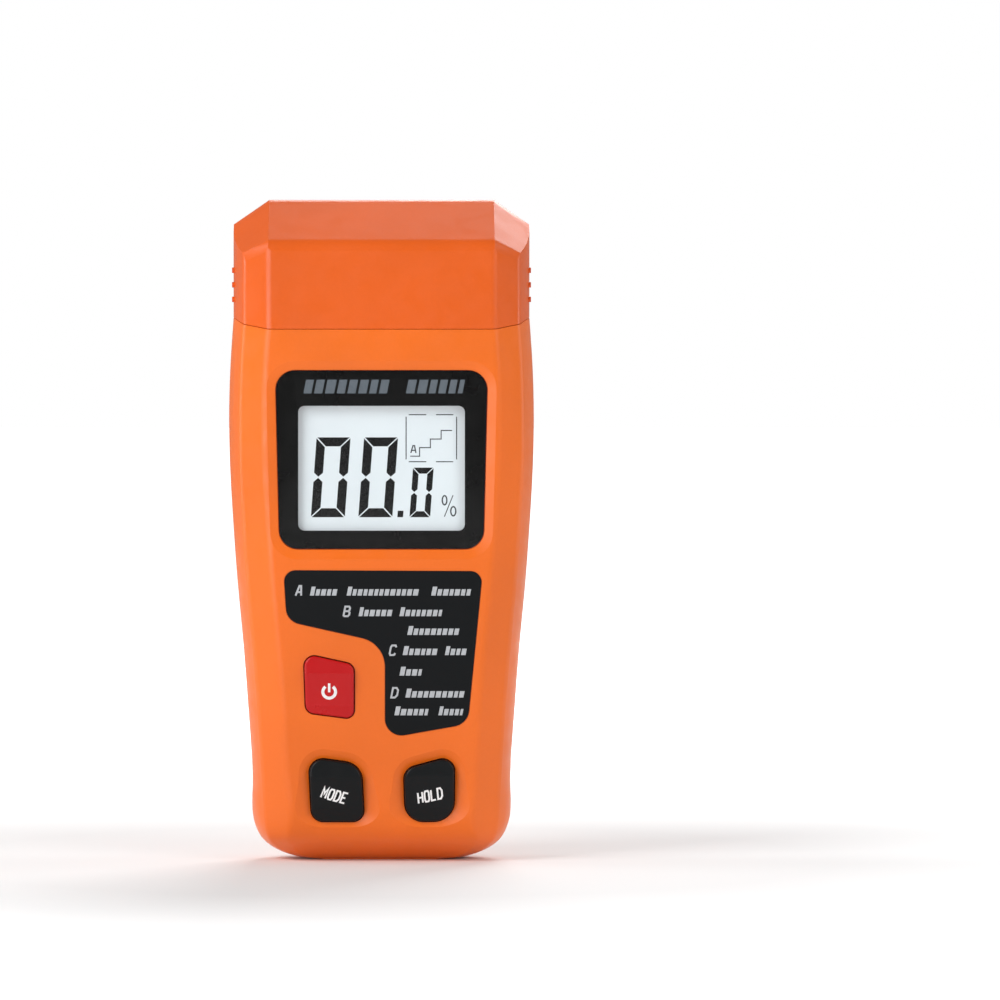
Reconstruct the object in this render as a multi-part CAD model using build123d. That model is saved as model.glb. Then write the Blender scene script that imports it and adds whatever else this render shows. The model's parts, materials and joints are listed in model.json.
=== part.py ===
"""Handheld pin-type moisture meter with a push-on cap, as separate pieces.

Millimetres, +Z up. The meter stands on its lower end at the origin, its display faces -Y and
the two electrode pins point up. Every piece is drawn where it sits with the cap pushed home.
"""
from build123d import *
from math import atan2, degrees
import os

# ---------------------------------------------------------------- driving sizes
WIDTH = 67.0                 # across the display, the widest place
DEPTH = 32.0                 # front to back, the deepest place
HEIGHT = 145.0               # lower end to the top of the cap
WALL = 2.0                   # case wall
PIN_PITCH = 20.0             # between the two electrode pins
PIN_REACH = 10.0             # bare pin above its nut
GAP = 0.15                   # between pieces that come apart
FIT = 0.05                   # radial clearance of a screw or pin in its hole

FRONT = -DEPTH / 2
BACK = DEPTH / 2

# Case stations from the lower end up: height, half width, front y, back y,
# corner size as a share of the full corner, and how far the rear corner bevel runs forward.
STATIONS = [
    (0.0, 14.0, 0.9, 8.0, 0.20, 3.9),
    (0.4, 17.8, 0.0, 8.9, 0.30, 3.9),
    (1.4, 21.6, -1.8, 10.4, 0.45, 4.5),
    (3.0, 24.6, -4.5, 11.9, 0.62, 5.0),
    (5.4, 26.8, -8.0, 13.3, 0.82, 6.0),
    (9.0, 27.8, -10.1, 14.4, 1.0, 6.5),
    (16.0, 28.2, -11.1, 14.2, 1.0, 7.0),
    (30.0, 29.0, -12.8, 13.6, 1.0, 7.4),
    (46.0, 30.2, -14.2, 13.2, 1.0, 7.4),
    (60.0, 31.5, -14.93, 12.95, 1.0, 7.2),
    (75.0, 32.6, -15.24, 12.95, 1.0, 6.6),
    (86.0, 33.2, -15.46, 14.3, 1.0, 5.2),
    (96.0, 33.38, -15.67, 15.7, 1.0, 4.1),
    (103.0, 33.3, -15.82, 15.98, 1.0, 3.9),
    (112.0, 32.9, -15.99, 15.98, 1.0, 3.9),
    (117.0, 32.55, -15.99, 15.98, 1.0, 3.9),
    (122.0, 32.2, -15.99, 15.98, 1.0, 3.9),
]
CORNER_FRONT = (7.8, 2.4, 3.7)     # flat ends, side starts (both from the side), depth of the bevel
CORNER_REAR = (1.3, 7.0)           # side ends, rear flat starts, from the side
CORNER_RADIUS = 2.6
RIDGE_Y = -1.5                     # where the side is widest
FLOOR = (2.4, 19.0, 0.6, 8.2, 0.3, 3.9)   # inside of the lower end, as a station
ROOF_Z = 114.6                     # inside of the shoulder

# The line where front and rear shells meet, seen from the side: (y, z)
PARTING = [(4.7, -1.0), (2.6, 11.0), (0.6, 24.7), (-1.4, 43.8), (-2.4, 57.4),
           (-3.3, 75.0), (-2.9, 97.0), (-1.6, 112.5), (-0.9, 119.0), (-0.3, 131.0)]
SEAM_GAP = 0.3
SEAM_DEPTH = 0.35
ROUND_END_TOP = 9.0                # the lower end is rounded below this height

# Shoulder that the cap seats on: a shallow roof, highest over the parting line
SHOULDER_EDGE = 116.6
SHOULDER_PEAK = 119.1
SHOULDER_PEAK_Y = -0.9

# Nose under the cap
NOSE_CREASE = 124.2
NOSE_TOP = 128.7
NOSE_FOOT = (58.8, 26.8)           # width and depth at the shoulder
NOSE_BREAK = (57.0, 26.2)          # the same at the crease
NOSE_CROWN = (46.0, 17.0)          # the same at the flat top
NOSE_BEVEL = (5.0, 3.6)            # corner bevel, across and in depth
DETENT = (10.1, 1.3, 0.6)          # bar that the cap clicks over: width, height, stand-out
DETENT_Z = 120.3

# Display opening, all from the front
LENS_TOP, LENS_BOTTOM = 107.7, 68.8
LENS_HALF_TOP, LENS_HALF_BOTTOM = 23.1, 22.2
LENS_CORNER = 4.2
LENS_THICK = 1.4
MASK_THICK = 0.15
LENS_SINK = 0.12                   # lens face below the case face
VIEW_W, VIEW_TOP, VIEW_BOTTOM = 36.3, 100.0, 72.8
LEDGE_OPEN = 1.7                   # how far the wall behind the lens stands back from the view
LEDGE_BACK = -12.3                 # rear face of that wall

# Label outline, clockwise from top left, with a radius for each corner: (x, z)
LABEL_POINTS = [(-21.3, 64.2), (22.0, 64.0), (18.8, 30.6), (0.8, 27.4), (0.8, 48.3), (-20.6, 53.1)]
LABEL_RADII = [2.4, 2.4, 3.8, 3.6, 6.5, 3.6]
LABEL_THICK = 0.22

# Keys: outline with corner radii, seat behind the wall, and where the switch stands
KEYS = {
    "power": dict(points=[(-16.9, 46.0), (-6.0, 43.6), (-6.0, 31.7), (-16.5, 33.1)],
                  radii=[2.2, 2.0, 1.7, 2.0], seat=-11.4, centre=(-11.5, 38.5)),
    "mode": dict(points=[(-15.9, 23.3), (-4.5, 21.7), (-3.8, 9.1), (-15.2, 9.1)],
                 radii=[3.0, 4.2, 2.4, 2.6], seat=-8.7, centre=(-10.0, 15.6)),
    "hold": dict(points=[(4.9, 20.6), (15.9, 23.6), (15.8, 9.2), (5.3, 9.1)],
                 radii=[3.0, 2.6, 4.4, 4.0], seat=-8.7, centre=(10.4, 15.6)),
}
KEY_GAP = 0.25
KEY_FLANGE = 1.0                   # how far the flange reaches past the outline
# How far a key stands above the face: share of its height, and millimetres
KEY_PROUD = ((0.0, 0.1), (0.2, 0.75), (0.7, 1.35), (1.0, 0.5))
DISH_DEPTH, DISH_REACH = 0.7, 2.6  # the dished mouth round a key
RIM_DEPTH, RIM_REACH = 0.4, 1.9    # the same round the display

# Circuit board and what stands on it
BOARD_FRONT, BOARD_THICK = -3.5, 1.6
BOARD_BACK = BOARD_FRONT + BOARD_THICK
BOARD_TOP = 108.8
STANDOFFS = [(20.0, 106.6), (20.0, 56.0), (20.3, 28.2)]
SWITCH_SIZE, SWITCH_TALL = 6.0, 3.5
PLUNGER_R = 1.7
PLUNGER_TIP = -7.7
KEY_POST_R = 2.2                   # post that carries a high key down to its switch

# Case screws: (x, z) on both sides
CASE_SCREWS = [(21.5, 21.5), (23.4, 63.0)]
CASE_BOSS_R = 2.9
CASE_SHANK_R = 1.15
CASE_HEAD_R = 2.3
CASE_SEAT = 5.6                    # y of the face under the screw head

# Cells: two size AAA cells side by side across the case
CELL_R, CELL_LONG = 5.25, 44.5
CELL_Y = 7.25
CELL_Z = (91.0, 102.2)
BAY_X, BAY_Z0, BAY_Z1 = 24.4, 85.2, 108.2
BAY_FLOOR = 2.0
BAY_WALL = 1.2

# Battery door in the rear face
DOOR_X, DOOR_Z0, DOOR_Z1 = 25.6, 81.2, 112.2
DOOR_THICK = 1.8
DOOR_CORNER = 2.5
DOOR_TAB_X, DOOR_TAB_W = 15.0, 5.0

# Cap
CAP_WALL = 1.8
CAP_HALF_W = 32.45
CAP_EAVES = 135.3                  # height where the front and rear slopes begin
CAP_TAPER = 7.8                    # length of the bevel along x
CAP_INSET = 5.34                   # how far that bevel steps in from the profile
CAP_RIB = (9.6, 1.2, 0.30)         # grip rib: length, height, stand-out
CAP_RIB_Z = (123.2, 126.4, 129.6)
CAP_RIB_Y = 0.9

# Electrodes
STUD_R = 1.25
PIN_R = 0.8
PIN_TAPER = ((0.45, 0.8), (0.75, 0.55), (0.995, 0.06))   # share of the bare length, radius there
NUT_FLATS, NUT_TALL = 5.0, 2.0
WASHER_R, WASHER_TALL = 3.0, 0.4
BUSH_R = 2.6
BLOCK_Z0, BLOCK_Z1 = 119.6, 126.2


# ---------------------------------------------------------------- helpers
def block(x0, x1, y0, y1, z0, z1):
    size = Box(x1 - x0, y1 - y0, z1 - z0)
    return Pos((x0 + x1) / 2, (y0 + y1) / 2, (z0 + z1) / 2) * size


def rod_y(x, z, y0, y1, radius):
    return Pos(x, (y0 + y1) / 2, z) * Rot(90, 0, 0) * Cylinder(radius, y1 - y0)


def rod_z(x, y, z0, z1, radius):
    return Pos(x, y, (z0 + z1) / 2) * Cylinder(radius, z1 - z0)


def outline(points, radii):
    return make_face(FilletPolyline(*points, radius=radii, close=True))


def front_slab(face, y_front, y_back):
    """A face drawn in x and z, run from y_front to y_back."""
    return Pos(0, y_back, 0) * extrude(Plane.XZ * face, amount=y_back - y_front)


def side_slab(face, x0, x1):
    """A face drawn in y and z, run from x0 to x1."""
    return Pos(x0, 0, 0) * extrude(Plane.YZ * face, amount=x1 - x0)


def front_y(z):
    """The front face's y at a height."""
    for low, high in zip(STATIONS, STATIONS[1:]):
        if low[0] <= z <= high[0]:
            share = (z - low[0]) / (high[0] - low[0])
            return low[2] + share * (high[2] - low[2])


def export(piece, name):
    piece.label = name
    export_step(piece, f"parts/{name}.step")


# ---------------------------------------------------------------- case body
def case_section(z, half, front, back, corner, bevel, inset=0.0):
    """One level of the case: flat front and rear, bevelled corners, gently bowed sides."""
    half, front, back = half - inset, front + inset, back - inset
    flat, side, drop = (value * corner for value in CORNER_FRONT)
    side_end, rear_flat = (value * corner for value in CORNER_REAR)
    low, high = front + drop, back - bevel * corner
    ridge = RIDGE_Y if corner > 0.9 else (low + high) / 2
    turns = [(half - flat, front), (half - side, low), (half - side_end, high), (half - rear_flat, back)]
    right = [
        Line((0, front), turns[0]),
        Line(turns[0], turns[1]),
        ThreePointArc(turns[1], (half, ridge), turns[2]),
        Line(turns[2], turns[3]),
        Line(turns[3], (0, back)),
    ]
    left = [edge.mirror(Plane.YZ) for edge in right]
    face = make_face(right + left)
    def is_turn(vertex):
        return any(abs(abs(vertex.X) - x) + abs(vertex.Y - y) < 0.001 for x, y in turns)
    corners = [vertex for vertex in face.vertices() if is_turn(vertex)]
    return Pos(0, 0, z) * fillet(corners, CORNER_RADIUS * corner)


def case_solid(inset=0.0):
    """The whole case, or the case less a skin; a thick skin leaves out the rounded lower end."""
    lowest = ROUND_END_TOP if inset > 0.5 else 0.0
    return loft([case_section(*station, inset) for station in STATIONS if station[0] >= lowest])


def shoulder_limit(rise=0.0):
    """Everything below the shoulder's roof line, or a little above it."""
    edge, peak = SHOULDER_EDGE + rise, SHOULDER_PEAK + rise
    roof = ThreePointArc((FRONT, edge), (SHOULDER_PEAK_Y, peak), (BACK, edge))
    far, below = 2 * BACK, -5
    rest = Polyline((BACK, edge), (far, edge), (far, below), (-far, below), (-far, edge), (FRONT, edge))
    return side_slab(make_face([roof, rest]), -WIDTH, WIDTH)


def parting_face(shift=0.0):
    line = Spline(*[(y + shift, z) for y, z in PARTING])
    (y0, z0), (y1, z1) = PARTING[0], PARTING[-1]
    rest = Polyline((y1 + shift, z1), (2 * FRONT, z1), (2 * FRONT, z0), (y0 + shift, z0))
    return make_face([line, rest])


def ahead_of_parting(shift=0.0):
    return side_slab(parting_face(shift), -WIDTH, WIDTH)


def nose_plan(half, deep):
    across, back = NOSE_BEVEL
    corners = [(half, deep - back), (half - across, deep)]
    corners += [(-x, y) for x, y in reversed(corners)]
    corners += [(-x, -y) for x, y in corners]
    return outline(corners, [1.2] * 8)


def nose(shrink=0.0, drop=0.0):
    """The nose block, or with a shrink the hollow inside it."""
    def level(size, z):
        return Pos(0, 0, z) * nose_plan(size[0] / 2 - shrink, size[1] / 2 - shrink)
    foot_z, crease_z, top_z = 110.0, NOSE_CREASE - drop / 2, NOSE_TOP - drop
    lower = loft([level(NOSE_FOOT, foot_z), level(NOSE_BREAK, crease_z)], ruled=True)
    upper = loft([level(NOSE_BREAK, crease_z), level(NOSE_CROWN, top_z)], ruled=True)
    return lower + upper


def case_hollow():
    levels = [case_section(*FLOOR)]
    levels += [case_section(*station, WALL) for station in STATIONS if station[0] >= ROUND_END_TOP]
    room = loft(levels) & block(-WIDTH, WIDTH, -DEPTH, DEPTH, 0, ROOF_Z)
    return room + nose(shrink=2.1, drop=2.2)


def case_halves():
    outer = case_solid()
    body = (outer & shoulder_limit()) + nose()
    ahead = ahead_of_parting()
    shell = body - case_hollow()
    seam = (outer - case_solid(SEAM_DEPTH)) & (ahead_of_parting(SEAM_GAP) - ahead)
    return shell & ahead, shell - ahead - seam, outer


# ---------------------------------------------------------------- face openings
def lens_outline(grow=0.0):
    top, bottom = LENS_TOP + grow, LENS_BOTTOM - grow
    half_top, half_bottom = LENS_HALF_TOP + grow, LENS_HALF_BOTTOM + grow
    points = [(-half_top, top), (half_top, top), (half_bottom, bottom), (-half_bottom, bottom)]
    return outline(points, [LENS_CORNER + grow] * 4)


def lens_slab(face, sink, thick):
    """A slab along the display's own slope, sunk below the case face."""
    mid = (LENS_TOP + LENS_BOTTOM) / 2
    lean = degrees(atan2(front_y(LENS_BOTTOM) - front_y(LENS_TOP), LENS_TOP - LENS_BOTTOM))
    slab = Pos(0, 0, -mid) * front_slab(face, sink, sink + thick)
    return Pos(0, front_y(mid), mid) * Rot(lean, 0, 0) * slab


def view_window(grow=0.0):
    height = VIEW_TOP - VIEW_BOTTOM + 2 * grow
    return Pos(0, (VIEW_TOP + VIEW_BOTTOM) / 2) * RectangleRounded(VIEW_W + 2 * grow, height, 1.4)


def key_outline(key, grow=0.0):
    face = outline(KEYS[key]["points"], KEYS[key]["radii"])
    return offset(face, amount=grow) if grow else face


def key_span(key):
    heights = [z for _, z in KEYS[key]["points"]]
    return min(heights), max(heights)


def dish(face, low, high, depth, reach):
    """A mouth that widens as it comes out to the case face, along that face's own slope."""
    mid = (low + high) / 2
    lean = degrees(atan2(front_y(low) - front_y(high), high - low))
    taper = -degrees(atan2(reach, depth))
    mouth = extrude(Plane.XZ * Pos(0, -mid) * face, amount=1.3 * depth, taper=taper)
    return Pos(0, front_y(mid), mid) * Rot(lean, 0, 0) * Pos(0, depth, 0) * mouth


# ---------------------------------------------------------------- shells
def boss_places(rows):
    return [(side * x, z) for x, z in rows for side in (-1, 1)]


def lanyard_axis():
    """Two ends of the lanyard tunnel, in at the rear corner and out under the lower end."""
    return Vector(-24.6, 13.0, 11.4), Vector(-18.6, 7.6, -1.6)


def lanyard_tunnel(radius):
    start, end = lanyard_axis()
    run = end - start
    return Plane(origin=start, z_dir=run) * Pos(0, 0, run.length / 2) * Cylinder(radius, run.length)


def detent_bar():
    wide, tall, proud = DETENT
    face = -NOSE_BREAK[1] / 2
    return Pos(0, face, DETENT_Z) * Box(wide, 2 * proud, tall)


def nose_ribs(y0, y1):
    """Ribs inside the nose that stop the electrode block from one side."""
    return [block(x - 0.6, x + 0.6, y0, y1, BLOCK_Z0, 123.4) for x in (-13, 13)]


def stud_holes():
    return [rod_z(x, 0, NOSE_TOP - 4, NOSE_TOP + 1, STUD_R + 0.1) for x in (-PIN_PITCH / 2, PIN_PITCH / 2)]


def front_shell(shell, outer, skin):
    ahead = ahead_of_parting()
    inner = case_solid(1.0)
    lens_pad = front_slab(offset(lens_outline(), amount=1.6), -15.0, LEDGE_BACK)
    shell += lens_pad & outer
    for key in KEYS:
        shell += front_slab(key_outline(key, 2.6), -15.0, KEYS[key]["seat"]) & outer
    for x, z in boss_places(STANDOFFS):
        shell += rod_y(x, z, front_y(z) + 1.0, BOARD_FRONT, 2.1)
    for x, z in boss_places(CASE_SCREWS):
        shell += rod_y(x, z, front_y(z) + 1.0, 5.0, CASE_BOSS_R) & ahead & inner
    shell += nose_ribs(-12.0, -4.65)
    shell -= lens_slab(lens_outline(GAP), -3.0, 3.0 + LENS_SINK + LENS_THICK + MASK_THICK + 0.05)
    shell -= dish(lens_outline(GAP), LENS_BOTTOM, LENS_TOP, RIM_DEPTH, RIM_REACH)
    shell -= front_slab(view_window(LEDGE_OPEN), 1.5 * FRONT, 0)
    for key in KEYS:
        shell -= front_slab(key_outline(key, KEY_GAP), -20, 0)
        shell -= front_slab(key_outline(key, KEY_FLANGE + 0.4), KEYS[key]["seat"], BOARD_FRONT)
        shell -= dish(key_outline(key, KEY_GAP), *key_span(key), DISH_DEPTH, DISH_REACH)
    for x, z in boss_places(STANDOFFS):
        shell -= rod_y(x, z, -9.2, BOARD_FRONT, 0.75 + FIT)
    for x, z in boss_places(CASE_SCREWS):
        shell -= rod_y(x, z, -6.2, 6.0, CASE_SHANK_R + FIT)
    label_bed = skin & front_slab(offset(outline(LABEL_POINTS, LABEL_RADII), amount=0.12), -20, 0)
    shell -= label_bed
    shell -= stud_holes()
    return shell + detent_bar()


def door_outline(shrink=0.0):
    wide, tall = 2 * (DOOR_X - shrink), DOOR_Z1 - DOOR_Z0 - 2 * shrink
    return Pos(0, (DOOR_Z0 + DOOR_Z1) / 2) * RectangleRounded(wide, tall, DOOR_CORNER - shrink)


def door_slot(side):
    """Room for a door tab to hook under the wall and swing out."""
    half = DOOR_TAB_W / 2 + 0.5
    x = side * DOOR_TAB_X
    return block(x - half, x + half, 9.0, 12.4, DOOR_Z0 - 2.4, BAY_Z0 + 0.5)


def rear_shell(shell, outer, inner_skin):
    rim = outer - case_solid(3.4)
    shell += rim & front_slab(door_outline(-1.4), 5, 20)
    side, low, high = BAY_X + BAY_WALL, BAY_Z0 - BAY_WALL, BAY_Z1 + BAY_WALL
    shell += block(-side, side, BAY_FLOOR - BAY_WALL, 15, low, high) & case_solid(1.0)
    for x, z in boss_places(CASE_SCREWS):
        shell += rod_y(x, z, -4.0, 13.0, CASE_BOSS_R + 0.5) & outer - ahead_of_parting(GAP)
    shell += lanyard_tunnel(2.9) & outer - ahead_of_parting()
    shell += nose_ribs(4.65, 12.0)
    shell -= block(-BAY_X, BAY_X, BAY_FLOOR, 20, BAY_Z0, BAY_Z1)
    shell -= inner_skin & front_slab(door_outline(), 5, 20)
    for side in (-1, 1):
        shell -= door_slot(side)
    for x, z in boss_places(CASE_SCREWS):
        shell -= rod_y(x, z, -4.5, 20, CASE_SHANK_R + 0.15)
        shell -= rod_y(x, z, CASE_SEAT, 20, CASE_HEAD_R + 0.3)
    shell -= lanyard_tunnel(1.25)
    thumb = Pos(0, 26.2, DOOR_Z1 + 1.5) * Sphere(11.5)
    shell -= thumb - front_slab(door_outline(), 5, 20)
    shell -= stud_holes()
    for z in CELL_Z:
        shell -= block(BAY_X - 0.65, BAY_X, BAY_FLOOR - BAY_WALL - 1, BAY_FLOOR + 1, z - 1.4, z + 1.4)
    return shell


def battery_door(outer):
    panel = (outer - case_solid(DOOR_THICK)) & front_slab(door_outline(GAP), 5, 20)
    for side in (-1, 1):
        x = side * DOOR_TAB_X
        half = DOOR_TAB_W / 2
        panel += block(x - half, x + half, 9.9, 12.3, DOOR_Z0 + 0.4, DOOR_Z0 + 2.0)
        panel += block(x - half, x + half, 9.9, 11.3, DOOR_Z0 - 1.7, DOOR_Z0 + 0.5)
    for row in range(3):
        z = DOOR_Z1 - 5.0 - 1.8 * row
        panel += front_slab(Pos(0, z) * SlotOverall(16 - 3 * row, 0.8), 15.0, BACK) & outer
    return panel


# ---------------------------------------------------------------- cap
def cap_profile(inset=0.0):
    """The cap from the side: (y, z), with its long front slope."""
    points = [(FRONT, 100), (FRONT, CAP_EAVES), (0.2, HEIGHT + 0.12),
              (10.1, HEIGHT - 0.5), (BACK, CAP_EAVES), (BACK, 100)]
    radii = [0, 3.4, 3.6, 3.0, 3.4, 0]
    face = make_face(FilletPolyline(*points, radius=radii, close=True))
    return offset(face, amount=-inset) if inset else face


def cap_lump(inset=0.0):
    """The cap's outer form, or with an inset its hollow: a prism with tapered ends."""
    flat = CAP_HALF_W - CAP_TAPER
    taper = degrees(atan2(CAP_INSET, CAP_TAPER))
    profile = cap_profile(inset)
    tip = Plane(origin=(flat, 0, 0), x_dir=(0, 1, 0), z_dir=(1, 0, 0)) * profile
    end = extrude(tip, amount=CAP_TAPER - inset, taper=taper)
    return side_slab(profile, -flat, flat) + end + mirror(end, Plane.YZ)


def cap_plan(inset=0.0):
    """The case outline at the shoulder, run up over the whole cap."""
    station = (110.0, CAP_HALF_W, -15.99, 15.98, 1.0, 3.9)
    return extrude(case_section(*station, inset), amount=40)


def protective_cap():
    outer = cap_lump() & cap_plan()
    wide, deep = NOSE_FOOT
    plan = RectangleRounded(wide + 0.8, deep + 1.0, 4.0)
    room = cap_lump(CAP_WALL) & (Pos(0, 0, 100) * extrude(plan, amount=60))
    cap = outer - room - shoulder_limit(GAP)
    long, tall, proud = CAP_RIB
    for z in CAP_RIB_Z:
        for side in (-1, 1):
            x = side * (CAP_HALF_W - 0.9)
            bar = Pos(x, CAP_RIB_Y, z) * Box(2 * proud + 1.8, long, tall)
            cap += fillet(bar.edges().filter_by(Axis.X), tall / 2 - 0.02)
    wide, tall, proud = DETENT
    y = -(deep + 1.0) / 2
    groove = block(-wide / 2 - 0.5, wide / 2 + 0.5, y - 0.3, y + 0.5, DETENT_Z - tall, DETENT_Z + tall)
    return cap - groove


# ---------------------------------------------------------------- display
def display_lens():
    return lens_slab(lens_outline(), LENS_SINK, LENS_THICK)


def lens_mask():
    window = view_window()
    return lens_slab(lens_outline(), LENS_SINK + LENS_THICK, MASK_THICK) - front_slab(window, -20, 0)


def reference_label(skin):
    return skin & front_slab(outline(LABEL_POINTS, LABEL_RADII), -20, 0)


def display_pieces():
    """Glass, light guide, zebra strip and the frame that holds them on the board."""
    glass = block(-21, 21, LEDGE_BACK + 0.1, LEDGE_BACK + 2.4, 71.0, 102.8)
    guide = block(-19.5, 19.5, LEDGE_BACK + 2.5, LEDGE_BACK + 4.0, 74.6, 102.6)
    zebra = block(-18, 18, LEDGE_BACK + 2.45, BOARD_FRONT, 71.2, 73.2)
    frame = block(-22.6, 22.6, LEDGE_BACK + 0.4, BOARD_FRONT, 69.4, 103.9)
    frame -= block(-21.1, 21.1, -13, LEDGE_BACK + 4.1, 70.9, 102.9)
    frame -= block(-18.2, 18.2, -13, -3, 71.0, 73.4)
    frame -= block(-20, 20, LEDGE_BACK + 5.2, -3, 76, 101.5)
    return {"lcd_panel": glass, "lcd_light_guide": guide, "zebra_strip": zebra, "lcd_frame": frame}


# ---------------------------------------------------------------- keys
def key_piece(key):
    spec = KEYS[key]
    low, high = key_span(key)
    levels = [(low + share * (high - low), proud) for share, proud in KEY_PROUD]
    crest = [(front_y(z) - proud, z) for z, proud in levels]
    seat, below, above = spec["seat"], low - 1, high + 1
    foot = [(seat, below), (crest[0][0], below)]
    head = [(crest[-1][0], above), (seat, above)]
    profile = make_face(Polyline(*foot, *crest, *head, close=True))
    top = front_slab(key_outline(key), 1.5 * FRONT, seat + 0.5) & side_slab(profile, -WIDTH, WIDTH)
    face_edges = top.edges().filter_by(lambda edge: edge.center().Y < front_y(high) + 2.9)
    rim = [edge for edge in face_edges if abs(edge.tangent_at(0.5).Y) < 0.9]
    top = fillet(rim, 0.45)
    flange = front_slab(key_outline(key, KEY_FLANGE), seat + 0.1, seat + 1.0)
    body = front_slab(key_outline(key), seat, seat + 0.5) + top + flange
    if seat + 1.0 < PLUNGER_TIP:
        x, z = spec["centre"]
        body += rod_y(x, z, seat + 0.5, PLUNGER_TIP, KEY_POST_R)
    return body


def switch_pieces(key):
    x, z = KEYS[key]["centre"]
    half = SWITCH_SIZE / 2
    base = block(x - half, x + half, BOARD_FRONT - SWITCH_TALL, BOARD_FRONT, z - half, z + half)
    base -= rod_y(x, z, BOARD_FRONT - SWITCH_TALL - 1, BOARD_FRONT - 0.8, PLUNGER_R + FIT)
    return base, rod_y(x, z, PLUNGER_TIP, BOARD_FRONT - 1.5, PLUNGER_R)


# ---------------------------------------------------------------- circuit board
def main_board():
    board = block(-23, 23, BOARD_FRONT, BOARD_BACK, 24, BOARD_TOP)
    board += block(-17, 17, BOARD_FRONT, BOARD_BACK, 7.5, 24)
    for x, z in boss_places(CASE_SCREWS):
        board -= rod_y(x, z, BOARD_FRONT - 1, BOARD_BACK + 1, CASE_BOSS_R + 0.9)
    for x, z in boss_places(STANDOFFS):
        board -= rod_y(x, z, BOARD_FRONT - 1, BOARD_BACK + 1, 1.1)
    return board


def chip(x, z, wide, tall, thick, legs):
    """A flat chip on the rear of the board with a row of legs down each side."""
    lifted = BOARD_BACK + 0.15
    body = block(x - wide / 2, x + wide / 2, lifted, BOARD_BACK + thick, z - tall / 2, z + tall / 2)
    for row in range(legs):
        at = z + (row - (legs - 1) / 2) * tall / legs
        for side in (-1, 1):
            inner, outer_x = x + side * (wide / 2 - 0.1), x + side * (wide / 2 + 1.0)
            x0, x1 = sorted((inner, outer_x))
            body += block(x0, x1, BOARD_BACK, BOARD_BACK + 0.35, at - 0.2, at + 0.2)
    return body


def small_components():
    """Resistors and capacitors in two rows on the rear of the board."""
    parts = []
    for row, z in enumerate((44.0, 68.0)):
        for step in range(5):
            x = -13.0 + 6.2 * step + 1.5 * row
            parts.append(block(x - 1, x + 1, BOARD_BACK, BOARD_BACK + 0.7, z - 0.6, z + 0.6))
    return Compound(children=parts)


def board_screw(x, z):
    head = rod_y(x, z, BOARD_BACK, BOARD_BACK + 1.1, 1.9)
    shank = rod_y(x, z, -8.8, BOARD_BACK + 0.1, 0.75)
    slot = block(x - 1.4, x + 1.4, BOARD_BACK + 0.6, BOARD_BACK + 2, z - 0.2, z + 0.2)
    return head + shank - slot - slot.rotate(Axis((x, 0, z), (0, 1, 0)), 90)


def case_screw(x, z):
    head = rod_y(x, z, CASE_SEAT, CASE_SEAT + 1.8, CASE_HEAD_R)
    shank = rod_y(x, z, -5.5, CASE_SEAT + 0.1, CASE_SHANK_R)
    slot = block(x - 1.6, x + 1.6, CASE_SEAT + 0.9, CASE_SEAT + 3, z - 0.25, z + 0.25)
    return head + shank - slot - slot.rotate(Axis((x, 0, z), (0, 1, 0)), 90)


# ---------------------------------------------------------------- cells and contacts
def cell(z, turned):
    """A size AAA cell lying across the case, its nub to the right unless turned."""
    nub = 1.0
    can = Cylinder(CELL_R, CELL_LONG - nub) + Pos(0, 0, (CELL_LONG - nub) / 2) * Cylinder(1.9, 2 * nub)
    can = Pos(0, 0, -nub / 2) * can
    return Pos(0, CELL_Y, z) * Rot(0, -90 if turned else 90, 0) * can


def contact_plate(side, rows, tail):
    """Nickel plate at one end of the bay, with a sprung leaf at each cell's flat end."""
    x_wall = BAY_X
    z0, z1 = min(rows) - 4, max(rows) + 4
    plate = block(x_wall - 0.45, x_wall - 0.05, BAY_FLOOR + 0.2, BAY_FLOOR + 9.4, z0, z1)
    for z in rows:
        sprung = (side < 0) == (z == CELL_Z[0])
        if sprung:
            foot, bulge, lip = x_wall - 0.3, x_wall - 2.0, x_wall - 1.4
            leaf = Polyline((foot, 4.0), (bulge, 6.6), (bulge, 8.4), (lip, 9.6))
            leaf = Plane.XY.offset(z) * trace(leaf, 0.3)
            plate += extrude(leaf, amount=2.5, both=True)
        else:
            plate += block(x_wall - 1.9, x_wall - 0.3, 6.0, 8.5, z - 1.8, z + 1.8)
    if tail:
        plate += block(x_wall - 0.45, x_wall - 0.05, -0.1, BAY_FLOOR + 1, rows[0] - 1.2, rows[0] + 1.2)
    return plate if side > 0 else mirror(plate, Plane.YZ)


# ---------------------------------------------------------------- electrodes
def electrode_block():
    bar = block(-15, 15, -4.5, 4.5, BLOCK_Z0, BLOCK_Z1)
    for side in (-1, 1):
        bar -= rod_z(side * PIN_PITCH / 2, 0, BLOCK_Z0 - 1, BLOCK_Z1 + 1, BUSH_R + FIT)
    return fillet(bar.edges().filter_by(Axis.Z), 0.8)


def electrode_pin(side):
    """Threaded stud below, bare needle above its nut."""
    nut_top = NOSE_TOP + WASHER_TALL + NUT_TALL
    points = [(0, 116.4), (STUD_R, 116.4), (STUD_R, nut_top - 0.2), (PIN_R, nut_top - 0.2)]
    points += [(radius, nut_top + share * PIN_REACH) for share, radius in PIN_TAPER]
    points.append((0, nut_top + PIN_REACH))
    half = Plane.XZ * make_face(Polyline(*points, close=True))
    return Pos(side * PIN_PITCH / 2, 0, 0) * revolve(half, Axis.Z)


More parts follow.
